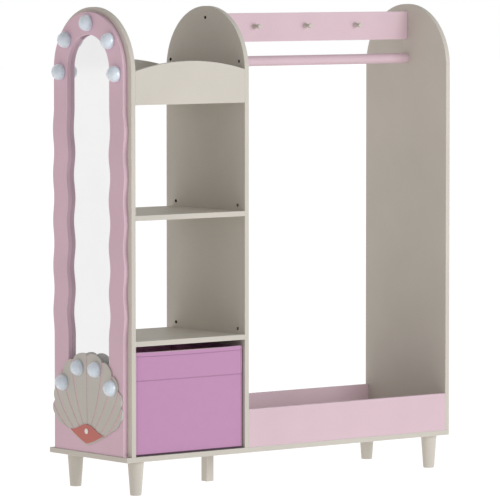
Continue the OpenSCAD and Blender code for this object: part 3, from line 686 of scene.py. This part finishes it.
    def cloth_mesh(self):
        """Outer cloth: under the floor, up the sides, over the rim and down the inside as a
        hem."""
        low, high, hem_z, band_z = self.low.z, self.high.z, self.hem_z, self.band_z
        cloth, wall, hem_end = self.s.cloth, self.s.wall, self.high.z - self.s.hem_depth

        def proud(z):
            # Sewn lines pull the cloth in; the band above the lower line lies a little proud
            dent = LINE_DEPTH * (dip(z - hem_z, LINE_WIDTH) + dip(z - band_z, LINE_WIDTH))
            return BAND_PROUD * min(1, max(0, (z - band_z) / BAND_RISE)) - dent

        def pucker(z):
            return PUCKER_HEIGHT * dip(min(abs(z - hem_z), abs(z - band_z)), PUCKER_REACH)

        def shade(z):
            # Painted shade in the sewn lines, and painted shadow at the foot
            foot = min(dark, max(0, dark * (low + 4.9 * MM - z) / (0.6 * MM)))
            return max(dip(z - hem_z, LINE_SHADE), dip(z - band_z, LINE_SHADE), foot)

        # dark is the painted shadow at the foot, pale the painted highlight on the rim's fold
        dark, pale, edge, edge_rings, rim_rings = 2.8, -1.0, 3 * MM, 5, 8
        plan = []  # inset, height, softness, sag and puckers of each ring
        for k in range(edge_rings):  # rounded lower edge
            a = math.radians(90 * k / edge_rings)
            plan.append((edge * (1 - math.sin(a)), low + edge * (1 - math.cos(a)),
                         self.bulge_at(low) * math.sin(a)))
        sides = self.side_heights()
        plan += [(-proud(z), z, self.bulge_at(z), self.sag_at(z), pucker(z)) for z in sides]
        shades = [dark] * edge_rings + [shade(z) for z in sides] + [pale] * 5
        top, rim, sag, loose = sides[-1], wall / 2, self.s.rim_sag, 0.3 * MM
        for k in range(1, rim_rings + 1):  # over the rim, whose fold gets a painted highlight
            a, share = math.radians(180 * k / rim_rings), k / rim_rings
            plan.append(((rim + proud(top)) * (1 - math.cos(a)) - proud(top) + loose * share,
                         top + rim * math.sin(a), self.bulge_at(top) * (1 - share), sag))
        inner = wall + loose
        plan += [(inner, z, 0, sag, 0.1 * MM) for z in (high - 6 * MM, high - 9 * MM, hem_end)]
        plan += [(inner - 0.5 * MM, hem_end - 0.4 * MM, 0, sag), (wall - cloth, hem_end, 0, sag),
                 (wall - cloth, high - 3 * MM, 0, sag), (wall / 2, high - 2 * MM, 0, sag),
                 (cloth, high - 3 * MM, self.bulge_at(top) * 0.6, sag)]
        for k in range(1, 12):  # down behind the outer face
            z = high - 6 * MM - (self.tall - 10 * MM) * k / 11
            plan.append((cloth, z, self.bulge_at(z), self.sag_at(z)))
        plan.append((cloth * 3, low + cloth))
        rings = [self.ring(*spec) for spec in plan]
        return self.loft(rings, rings[10], shades)

    def lining_mesh(self):
        """Lining: over the floor and up the inside to behind the hem, lying loosely on the
        boards."""
        wall, cloth, floor = self.s.wall, self.s.cloth, self.low.z + self.s.wall
        hem_end = self.high.z - self.s.hem_depth
        plan = []  # inset, height, softness, sag and puckers of each ring
        for inset in (128, 104, 80, 58, 40, 26, 16, 9):  # across the floor, outwards, in mm
            sink = 0.5 * MM + 0.5 * MM * math.sin(inset * 0.11)
            plan.append((inset * MM, floor + sink, 0, 0, 0.3 * MM))
        plan += [(wall + 2.2 * MM, floor + 0.5 * MM), (wall + 0.7 * MM, floor + 0.9 * MM),
                 (wall + 0.2 * MM, floor + 2.4 * MM)]
        foot, top, steps = floor + 5 * MM, hem_end - 2 * MM, 26
        for k in range(steps + 1):
            slack = -0.9 * MM * math.sin(math.pi * k / steps)
            plan.append((wall + 0.1 * MM, foot + (top - foot) * k / steps, slack, 0, 0.12 * MM))
        plan += [(wall - 0.5 * MM, hem_end + 4 * MM), (wall - cloth, hem_end + 4 * MM),
                 (wall - cloth, floor - cloth + 0.1 * MM)]
        rings = [self.ring(*spec) for spec in plan]
        return self.loft(rings, rings[14])


# ---- Settings ----

class CabinetSettings(bpy.types.PropertyGroup):
    """Finish of the boards."""
    edge: length("Eased edge", 0.9 * MM, "Radius that the boards' long edges are rubbed down to")
    leg_edge: length("Support leg edge", 1.0 * MM, "Radius of the square leg's edges")
    cream: colour("Cream paint", "#CECAC1", "Colour of the uprights, shelves and legs")
    pink: colour("Pink paint", "#DAC1CB", "Colour of the toy tray, the hook rail and the rod")


class MirrorSettings(bpy.types.PropertyGroup):
    """Finish of the mirror, its frame and the shell."""
    edge: length("Frame edge", 1.2 * MM, "Radius of the frame's front edges")
    shell_edge: length("Shell edge", 0.45 * MM, "Radius of the shell's front edges")
    hinge_edge: length("Hinge edge", 0.5 * MM, "Radius of the edges of the shell's hinge")
    button_edge: length("Button edge", 0.25 * MM, "Radius of the button's edges")
    frame_paint: colour("Frame paint", "#DABDCB", "Colour of the wavy frame")
    shell_paint: colour("Shell paint", "#C6C4BD", "Colour of the scallop shell")
    ray_paint: colour("Ray paint", "#D4BCC0", "Colour of the shell's rays")
    coral_paint: colour("Coral paint", "#C77C75", "Colour of the shell's hinge")
    button_white: colour("Button", "#EDF0EF", "Colour of the button on the hinge")
    silver: colour("Mirror silver", "#EBEBEB", "Colour that the mirror gives to what it shows")


class PearlSettings(bpy.types.PropertyGroup):
    """The half round pearls."""
    diameter: length("Diameter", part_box("arch_pearl_3")[1].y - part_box("arch_pearl_3")[0].y,
                     "Diameter of a pearl")
    arch_neck: length("Neck on the arch", 3 * MM,
                      "How far a pearl on the arch goes on below its middle")
    shell_neck: length("Neck on the shell", 1 * MM,
                       "How far a pearl on the shell goes on below its middle")
    tint: colour("Pearl", "#E4EFFF", "Colour of the pearls")


class PegSettings(bpy.types.PropertyGroup):
    """The turned pegs on the rail."""
    reach: length("Length", 22 * MM, "How far a peg stands out from the rail")
    head: length("Head", 12 * MM, "Diameter of a peg's flange and head")
    neck: length("Neck", 7.2 * MM, "Diameter of a peg's neck")


class LegSettings(bpy.types.PropertyGroup):
    """The round legs."""
    top: length("Top diameter", 38 * MM, "Diameter of a leg under the base board")
    foot: length("Foot diameter", 26.5 * MM, "Diameter of a leg at the floor")
    foot_edge: length("Foot edge", 1.5 * MM, "Radius of the rounded edge at the floor")


class BinSettings(bpy.types.PropertyGroup):
    """The fabric bin."""
    bulge: length("Bulge", 1.2 * MM, "How far the middles of the sides swell out")
    rim_sag: length("Rim sag", 1.4 * MM, "How far the rim hangs down between its corners")
    corner_radius: length("Corner radius", 3 * MM, "Radius of the upright corners")
    corner_seam: length("Corner seam", 4.5 * MM, "Distance of the upright seams from the corners")
    hem_line: length("Hem line", 10 * MM, "Distance of the sewn hem line below the rim")
    band_line: length("Band line", 66 * MM, "Distance of the lower sewn line below the rim")
    hem_depth: length("Hem depth", 13 * MM, "Depth of the hem inside the rim")
    wall: length("Wall", 4 * MM, "Thickness of the cloth, the stiffening board and the lining")
    cloth: length("Cloth", 1 * MM, "Thickness of the cloth")
    dot_pitch: length("Dot pitch", 1.6 * MM, "Distance between the pressed dots of the cloth")
    stitch: length("Stitch", 2.2 * MM, "Length of a stitch")
    pitch: length("Stitch pitch", 3.0 * MM, "Distance from one stitch to the next")
    thread: length("Thread", 0.5 * MM, "Thickness of the thread")
    orchid: colour("Outer cloth", "#C392B9", "Colour of the cloth that shows")
    lining: colour("Lining", "#D494BE", "Colour of the lining")


class StageSettings(bpy.types.PropertyGroup):
    """Floor, light and camera."""
    left: strength("Left light", 0.67, "Soft light from the left")
    right: strength("Right light", 0.86, "Soft light from the right")
    behind: strength("Back light", 0.25, "Soft light from the back left")
    below: strength("Floor light", 0.92, "Soft light from below, as a white floor throws back")
    warmth: colour("Shade tint", "#FFF9F6", "Colour of all the soft light but that from the right")
    key: strength("Key light", 124.0, "Power of the large soft light at the front, in watts")
    glow: strength("Floor glow", 0.99, "Light that the floor gives off, so that it stays white")
    lens: bpy.props.FloatProperty(name="Lens", default=318.2, min=1.0, unit="CAMERA",
                                  description="Focal length of the camera")


# ---- Operators ----

class PieceOperator:
    """What all the operators share: each can be undone."""
    bl_options = {"REGISTER", "UNDO"}


class UNIT_OT_boards(PieceOperator, bpy.types.Operator):
    """Paint and ease the cream boards: base, uprights, shelves and tray"""
    bl_idname = "dress_up_unit.boards"
    bl_label = "Cream Boards"

    def execute(self, context):
        s = context.scene.dress_up_cabinet
        cream = paint("cream_satin_lacquer", list(s.cream))
        for node in ("base_board", "left_upright", "middle_upright", "right_upright",
                     "upper_shelf", "lower_shelf", "tray_bottom", "tray_front", "tray_back"):
            finish_board(node, cream, "cream_paint", s.edge)
        return {"FINISHED"}


class UNIT_OT_pink_parts(PieceOperator, bpy.types.Operator):
    """Paint and ease the toy tray, the hook rail and the clothes rod"""
    bl_idname = "dress_up_unit.pink_parts"
    bl_label = "Pink Boards and Rod"

    def execute(self, context):
        s = context.scene.dress_up_cabinet
        pink = paint("pink_satin_lacquer", list(s.pink))
        for node in ("toy_tray_front", "toy_tray_back", "hook_rail"):
            finish_board(node, pink, "pink_paint", s.edge)
        finish_board("clothes_rod", pink, "pink_paint", 0.0)
        return {"FINISHED"}


class UNIT_OT_pegs(PieceOperator, bpy.types.Operator):
    """Turn the three pegs on the hook rail"""
    bl_idname = "dress_up_unit.pegs"
    bl_label = "Pegs"

    def execute(self, context):
        s, cabinet = context.scene.dress_up_pegs, context.scene.dress_up_cabinet
        nodes = ("left_hook", "middle_hook", "right_hook")
        places = [Vector((middle(n).x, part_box(n)[1].y, middle(n).z)) for n in nodes]
        cream = paint("cream_turned_lacquer", list(cabinet.cream), gloss=0.36)
        pegs = run_tree("pegs", peg_tree(), places, Length=s.reach, Head=s.head, Neck=s.neck,
                        Finish=cream)
        pegs.data.set_sharp_from_angle(angle=math.radians(50))
        place(pegs, "cream_paint", replaces=nodes)
        return {"FINISHED"}


class UNIT_OT_mirror(PieceOperator, bpy.types.Operator):
    """Paint and ease the wavy mirror frame, and silver its sheet"""
    bl_idname = "dress_up_unit.mirror"
    bl_label = "Mirror"

    def execute(self, context):
        s = context.scene.dress_up_mirror
        pink = paint("frame_pink_satin_lacquer", list(s.frame_paint))
        finish_board("mirror_frame", pink, "frame_paint", s.edge, front_only=True)
        silver = mirror_silver("silvered_acrylic", list(s.silver))
        finish_board("mirror_sheet", silver, "mirror_sheet", 0.0)
        return {"FINISHED"}


class UNIT_OT_shell(PieceOperator, bpy.types.Operator):
    """Paint the scallop shell, its rays, its hinge and its button"""
    bl_idname = "dress_up_unit.shell"
    bl_label = "Shell"

    def execute(self, context):
        s = context.scene.dress_up_mirror
        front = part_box("shell_plate")[0].x
        square = 0.9  # a normal this much along X is that of a face that lies square to it

        def groove(at, normal):
            # The floors of the rays face the front, a little behind the plate's face
            if normal.x < -square and front + 0.45 * MM < at.x < front + 2.2 * MM:
                return 1.0
            # -1 marks the back, which the paint makes near white as painted light
            return -1.0 if normal.x > square else 0.0

        grey = paint("grey_satin_lacquer", list(s.shell_paint), 0.10, ray=list(s.ray_paint))
        finish_board("shell_plate", grey, "shell_paint", s.shell_edge, front_only=True,
                     groove=groove)
        coral = paint("coral_satin_lacquer", list(s.coral_paint), 0.2)
        finish_board("shell_hinge", coral, "coral_paint", s.hinge_edge)
        white = button_plastic("white_nylon", list(s.button_white))
        finish_board("hinge_button", white, "white_button", s.button_edge, least=0.02, sharp=20.0)
        return {"FINISHED"}


class UNIT_OT_pearls(PieceOperator, bpy.types.Operator):
    """Set the half round pearls around the arch and on the shell"""
    bl_idname = "dress_up_unit.pearls"
    bl_label = "Pearls"

    def execute(self, context):
        s = context.scene.dress_up_pearls
        tree, gloss = pearl_tree(), pearl_gloss("pearl_blue_plastic", list(s.tint))
        for group, count, neck in (("arch_pearl", 5, s.arch_neck),
                                   ("shell_pearl", 4, s.shell_neck)):
            nodes = [f"{group}_{k + 1}" for k in range(count)]
            places = [Vector((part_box(n)[1].x, middle(n).y, middle(n).z)) for n in nodes]
            pearls = run_tree(group + "s", tree, places, Diameter=s.diameter, Neck=neck,
                              Finish=gloss)
            place(pearls, "pearl", replaces=nodes)
        return {"FINISHED"}


class UNIT_OT_legs(PieceOperator, bpy.types.Operator):
    """Turn the round legs and paint the square support leg"""
    bl_idname = "dress_up_unit.legs"
    bl_label = "Legs"

    def execute(self, context):
        s, cabinet = context.scene.dress_up_legs, context.scene.dress_up_cabinet
        cream = paint("cream_leg_lacquer", list(cabinet.cream), gloss=0.38)
        nodes = ("front_left_leg", "front_right_leg", "back_left_leg", "back_right_leg")
        places = [Vector((middle(n).x, middle(n).y, 0)) for n in nodes]
        legs = run_tree("round_legs", leg_tree(), places, Height=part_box(nodes[0])[1].z, Top=s.top,
                        Foot=s.foot, Foot_edge=s.foot_edge, Finish=cream)
        legs.data.set_sharp_from_angle(angle=math.radians(40))
        place(legs, "cream_paint", replaces=nodes)
        finish_board("support_leg", cream, "cream_paint", cabinet.leg_edge)
        return {"FINISHED"}


class UNIT_OT_fabric_bin(PieceOperator, bpy.types.Operator):
    """Sew the fabric bin: outer cloth, lining and stitches"""
    bl_idname = "dress_up_unit.fabric_bin"
    bl_label = "Fabric Bin"

    def execute(self, context):
        s = context.scene.dress_up_bin
        shape = BinShape(*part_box("bin_outer"), s)
        orchid = bonded_cloth("orchid_bonded_cloth", list(s.orchid), s.dot_pitch)
        outer = show("bin_cloth", shape.cloth_mesh())
        outer.data.materials.append(orchid)
        place(outer, "orchid_cloth", "bin", ["bin_outer"])
        plum = bonded_cloth("plum_bonded_cloth", list(s.lining), s.dot_pitch)
        lining = show("bin_lining_cloth", shape.lining_mesh())
        lining.data.materials.append(plum)
        place(lining, "lining_cloth", "bin", ["bin_lining"])

        thread, tree = sewing_thread("orchid_thread", scaled(s.orchid, 0.86)), stitch_tree()
        # The hem's stitches lie in its sewn line, the band's stand a little proud above theirs
        for name, z, inset in (("hem_stitches", shape.hem_z, 0.3 * MM),
                               ("band_stitches", shape.band_z + 2.5 * MM, -0.25 * MM)):
            line = shape.ring(inset, z, shape.bulge_at(z), shape.sag_at(z))
            edges = [(k, (k + 1) % len(line)) for k in range(len(line))]
            sewn = run_tree(name, tree, line, edges, Pitch=s.pitch, Stitch=s.stitch,
                            Thread=s.thread, Finish=thread)
            place(sewn, "orchid_cloth", "bin")
        return {"FINISHED"}


class UNIT_OT_fittings(PieceOperator, bpy.types.Operator):
    """Give the screws, bolts, locks, dowels and stiffening boards their finishes"""
    bl_idname = "dress_up_unit.fittings"
    bl_label = "Fittings"

    def execute(self, context):
        finishes = (
            (plated_metal("bright_zinc_steel", linear("#B9BBBE"), 0.28),
             ("leg_bolts", "base_screws", "cam_locks", "cam_bolts", "frame_screws", "hook_screws",
              "arch_pearl_screws", "shell_pearl_screws")),
            (plated_metal("black_zinc_steel", linear("#161617"), 0.45), ("side_screws",)),
            (plated_metal("brass", linear("#C9A94F"), 0.25), ("leg_inserts",)),
            (beech_wood("turned_beech", linear("#D8B98C")), ("dowels",)),
            (grey_board("grey_board", linear("#B9AE9C")),
             ("bin_front_board", "bin_back_board", "bin_left_board", "bin_right_board",
              "bin_bottom_board")),
        )
        for material, nodes in finishes:
            for node in nodes:
                NODES[node].data.materials.clear()
                NODES[node].data.materials.append(material)
        return {"FINISHED"}


class UNIT_OT_stage(PieceOperator, bpy.types.Operator):
    """Set up the floor, the soft light and the camera"""
    bl_idname = "dress_up_unit.stage"
    bl_label = "Stage"

    def execute(self, context):
        s = context.scene.dress_up_stage
        context.scene.view_settings.view_transform = "Standard"
        self.floor(s)
        self.background(context.scene)
        self.dome(s)
        key = bpy.data.lights.new("key_light", "AREA")
        key.shape, key.size, key.energy = "DISK", KEY_SIZE, s.key
        lamp = show("key_light", key)
        lamp.visible_camera = False
        aim(lamp, KEY_PLACE, KEY_AIM)
        data = bpy.data.cameras.new("camera")
        data.lens, data.sensor_width = s.lens, SENSOR_MM
        camera = show("camera", data)
        aim(camera, CAMERA_PLACE, CAMERA_AIM)
        context.scene.camera = camera
        return {"FINISHED"}

    def floor(self, s):
        """A large sheet of white paper."""
        mesh = bpy.data.meshes.new("floor")
        corners = [(x * FLOOR_REACH, y * FLOOR_REACH, 0)
                   for x, y in ((-1, -1), (1, -1), (1, 1), (-1, 1))]
        mesh.from_pydata(corners, [], [(0, 1, 2, 3)])
        mesh.materials.append(studio_floor("white_paper", s.glow))
        floor = show("studio_floor", mesh)
        floor.visible_diffuse = False

    def background(self, scene):
        """A white background, which glossy surfaces show and matt ones aren't lit by."""
        world = bpy.data.worlds.new("soft_studio")
        world.use_nodes = True
        feed(world.node_tree, world.node_tree.nodes["Background"],
             {"Color": linear("#FFFFFF"), "Strength": 1.0})
        world.cycles_visibility.diffuse = False
        scene.world = world

    def dome(self, s):
        """A dome of soft light, stronger on some sides, which lights matt surfaces and isn't
        seen."""
        bm = bmesh.new()
        bmesh.ops.create_icosphere(bm, subdivisions=4, radius=DOME_RADIUS)
        bmesh.ops.reverse_faces(bm, faces=bm.faces)
        mesh = bpy.data.meshes.new("light_dome")
        bm.to_mesh(mesh)
        bm.free()
        material, node, spot = new_material("dome_light")
        tree = material.node_tree
        tree.nodes.remove(tree.nodes["Principled BSDF"])
        way = node(VECTOR_MATH, spot, operation="NORMALIZE")
        total, white, warm = (0, 0, 0), Vector((1, 1, 1)), Vector(s.warmth[:3])
        for side, share in (((-1, 0, 0), warm * s.left), ((1, 0, 0), white * s.right),
                            ((-0.7, 0.7, 0), warm * s.behind), ((0, 0, -1), warm * s.below)):
            towards = node(VECTOR_MATH, way, side, operation="DOT_PRODUCT")
            lobe = node(MATH, towards, 0.0, operation="MAXIMUM")
            total = node(VECTOR_MATH, lobe, tuple(share), total, operation="MULTIPLY_ADD")
        glow = node("ShaderNodeEmission", total, 1.0)
        feed(tree, tree.nodes["Material Output"], {"Surface": glow})
        mesh.materials.append(material)
        dome = show("light_dome", mesh)
        for ray in ("camera", "glossy", "transmission", "shadow"):
            setattr(dome, "visible_" + ray, False)


SETTINGS = (
    ("dress_up_cabinet", CabinetSettings),
    ("dress_up_mirror", MirrorSettings),
    ("dress_up_pearls", PearlSettings),
    ("dress_up_pegs", PegSettings),
    ("dress_up_legs", LegSettings),
    ("dress_up_bin", BinSettings),
    ("dress_up_stage", StageSettings),
)
OPERATORS = (UNIT_OT_boards, UNIT_OT_pink_parts, UNIT_OT_pegs, UNIT_OT_mirror, UNIT_OT_shell,
             UNIT_OT_pearls, UNIT_OT_legs, UNIT_OT_fabric_bin, UNIT_OT_fittings, UNIT_OT_stage)


class VIEW3D_PT_dress_up_unit(bpy.types.Panel):
    """Lists the steps that build the unit, and their sizes and colours"""
    bl_label = "Dress Up Storage Unit"
    bl_space_type = "VIEW_3D"
    bl_region_type = "UI"
    bl_category = "Dress Up Unit"

    def draw(self, context):
        layout = self.layout
        for operator in OPERATORS:
            layout.operator(operator.bl_idname)
        for name, group in SETTINGS:
            box = layout.box()
            box.label(text=group.__doc__)
            for key in group.__annotations__:
                box.prop(getattr(context.scene, name), key)


def register():
    for _, group in SETTINGS:
        bpy.utils.register_class(group)
    for name, group in SETTINGS:
        setattr(bpy.types.Scene, name, bpy.props.PointerProperty(type=group))
    for cls in (*OPERATORS, VIEW3D_PT_dress_up_unit):
        bpy.utils.register_class(cls)


def unregister():
    for cls in (VIEW3D_PT_dress_up_unit, *reversed(OPERATORS)):
        bpy.utils.unregister_class(cls)
    for name, group in reversed(SETTINGS):
        delattr(bpy.types.Scene, name)
        bpy.utils.unregister_class(group)


def main():
    """Registers the add-on and builds every piece in order."""
    register()
    for operator in OPERATORS:
        group, name = operator.bl_idname.split(".")
        getattr(getattr(bpy.ops, group), name)()


if __name__ == "__main__":
    main()
